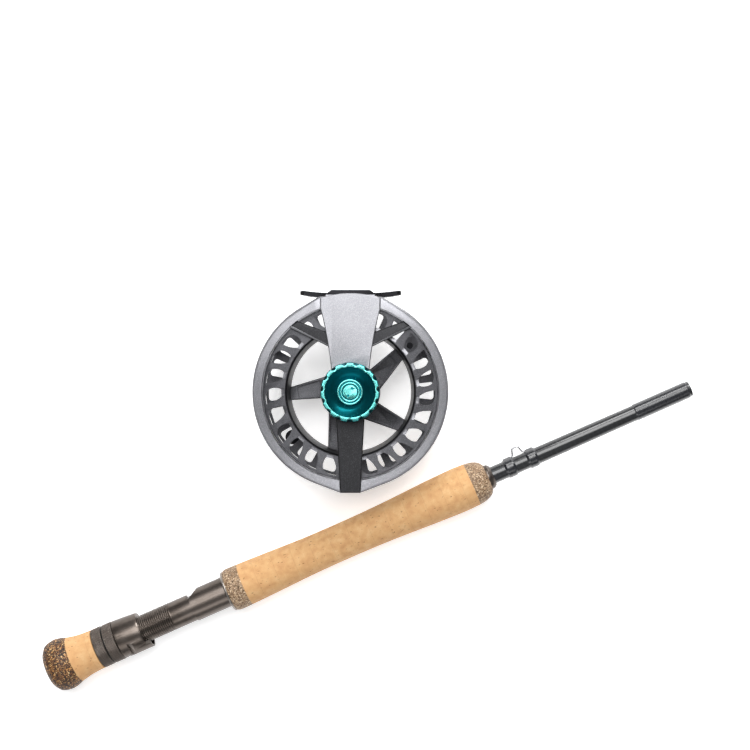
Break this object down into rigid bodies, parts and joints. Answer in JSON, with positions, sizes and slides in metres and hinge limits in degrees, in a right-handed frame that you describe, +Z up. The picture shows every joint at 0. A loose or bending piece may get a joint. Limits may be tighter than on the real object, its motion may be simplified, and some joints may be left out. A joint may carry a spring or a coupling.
{
  "type": "fly rod butt section with reel",
  "caption": "Fly rod butt section with cork grip and up-locking reel seat, and a large-arbor fly reel with drag knob and ported spool lying beside it.",
  "frame": {"origin": "under the middle of the whole object's box, on the surface that it lies on", "axes": "+X along the rod from the butt to the tip, +Y from the rod towards the reel, +Z up, along the reel's axis"},
  "size_m": [0.44, 0.1696, 0.07],
  "materials": {
    "burl_cork": "rubberised burl cork, dark brown granules with light flecks, satin",
    "light_burl": "composite burl cork, brown and tan granules, satin",
    "cork": "natural flor-grade cork, sanded, with small dark pits",
    "gunmetal": "machined aluminium, anodised gunmetal, semi-gloss",
    "bright_ring": "machined aluminium, bright anodised",
    "graphite": "carbon fibre tube under clear epoxy",
    "wrap": "wound thread under clear epoxy",
    "frame_grey": "satin metallic grey over cast aluminium",
    "charcoal": "satin charcoal over cast aluminium",
    "black_anodised": "machined aluminium, anodised black",
    "teal": "machined aluminium, anodised teal, glossy",
    "steel": "stainless steel",
    "brass": "turned brass",
    "rubber": "nitrile rubber",
    "polymer": "moulded polymer, fine texture"
  },
  "bodies": {
    "rod": {"butt_cap": "burl_cork", "butt_cork": "cork", "rod_blank": "graphite", "seat_barrel": "gunmetal", "seat_arbors": "polymer", "fixed_hood": "gunmetal", "seat_flange": "bright_ring", "rear_trim": "light_burl", "grip_cork": "cork", "front_trim": "light_burl", "winding_check": "gunmetal", "hook_keeper": "steel", "keeper_wrap_rear": "wrap", "keeper_wrap_front": "wrap", "ferrule_wrap": "wrap"},
    "ring_washer": {"lock_washer": "rubber"},
    "front_ring": {"front_lock_ring": "gunmetal"},
    "rear_ring": {"rear_lock_ring": "gunmetal"},
    "hood": {"sliding_hood": "gunmetal"},
    "frame": {"reel_frame": "frame_grey", "cage_ring": "frame_grey", "cage_pillars": "frame_grey", "foot_block": "frame_grey", "top_arm": "frame_grey", "hub_spider": "charcoal", "reel_foot": "black_anodised", "foot_screws": "steel", "spindle": "steel", "drag_housing": "black_anodised", "housing_screws": "steel", "housing_cap": "black_anodised", "housing_seal": "rubber", "brake_cone": "polymer", "disc_springs": "steel", "click_ball": "steel", "click_spring": "steel"},
    "knob": {"drag_knob": "teal", "knob_cap": "teal", "knob_clip": "steel"},
    "pressure": {"pressure_nut": "brass"},
    "rotor": {"rotor_cone": "steel", "clutch_shell": "steel", "clutch_rollers": "steel"},
    "driver": {"clutch_hub": "steel"},
    "spool": {"spool_arbor": "charcoal", "spool_back_flange": "charcoal", "spool_front_flange": "charcoal", "spool_hub": "charcoal", "spool_spokes": "charcoal", "spool_cap": "charcoal", "retention_ring": "rubber", "counterweight": "black_anodised", "handle_pin": "black_anodised", "handle_screw": "steel"},
    "handle": {"handle_knob": "polymer"}
  },
  "joints": [
    {"name": "hood_slide", "type": "slide", "parent": "rod", "child": "ring_washer", "axis": [1, 0, 0], "range_m": [0, 0.03]},
    {"name": "front_ring_turn", "type": "hinge", "parent": "ring_washer", "child": "front_ring", "pos_m": [-0.176, -0.06839, 0.01645], "axis": [1, 0, 0], "range_deg": [0, 8280]},
    {"name": "rear_ring_turn", "type": "hinge", "parent": "ring_washer", "child": "rear_ring", "pos_m": [-0.1835, -0.06839, 0.01645], "axis": [1, 0, 0], "range_deg": [0, 8281]},
    {"name": "hood_turn", "type": "hinge", "parent": "ring_washer", "child": "hood", "pos_m": [-0.165, -0.06839, 0.01645], "axis": [1, 0, 0], "continuous": true},
    {"name": "reel_lift", "type": "slide", "parent": "rod", "child": "frame", "axis": [0, 0, 1], "range_m": [0, 0.15]},
    {"name": "drag_turn", "type": "hinge", "parent": "frame", "child": "knob", "pos_m": [0.0242, 0.01581, 0.038], "axis": [0, 0, -1], "range_deg": [0, 340]},
    {"name": "pressure_slide", "type": "slide", "parent": "frame", "child": "pressure", "axis": [0, 0, -1], "range_m": [0, 0.00075], "deforming": ["disc_springs"]},
    {"name": "drag_slip", "type": "hinge", "parent": "frame", "child": "rotor", "pos_m": [0.0242, 0.01581, 0.038], "axis": [0, 0, 1], "continuous": true},
    {"name": "spool_spin", "type": "hinge", "parent": "rotor", "child": "driver", "pos_m": [0.0242, 0.01581, 0.038], "axis": [0, 0, 1], "continuous": true},
    {"name": "spool_release", "type": "slide", "parent": "driver", "child": "spool", "axis": [0, 0, -1], "range_m": [0, 0.035]},
    {"name": "handle_spin", "type": "hinge", "parent": "spool", "child": "handle", "pos_m": [0.06927, 0.02726, 0.01], "axis": [0, 0, 1], "continuous": true}
  ],
  "couplings": [
    {"joint": "hood_slide", "follows": "front_ring_turn", "m_per_rad": 0.0002069},
    {"joint": "rear_ring_turn", "follows": "front_ring_turn", "ratio": 1},
    {"joint": "pressure_slide", "follows": "drag_turn", "m_per_rad": 0.00011796}
  ]
}
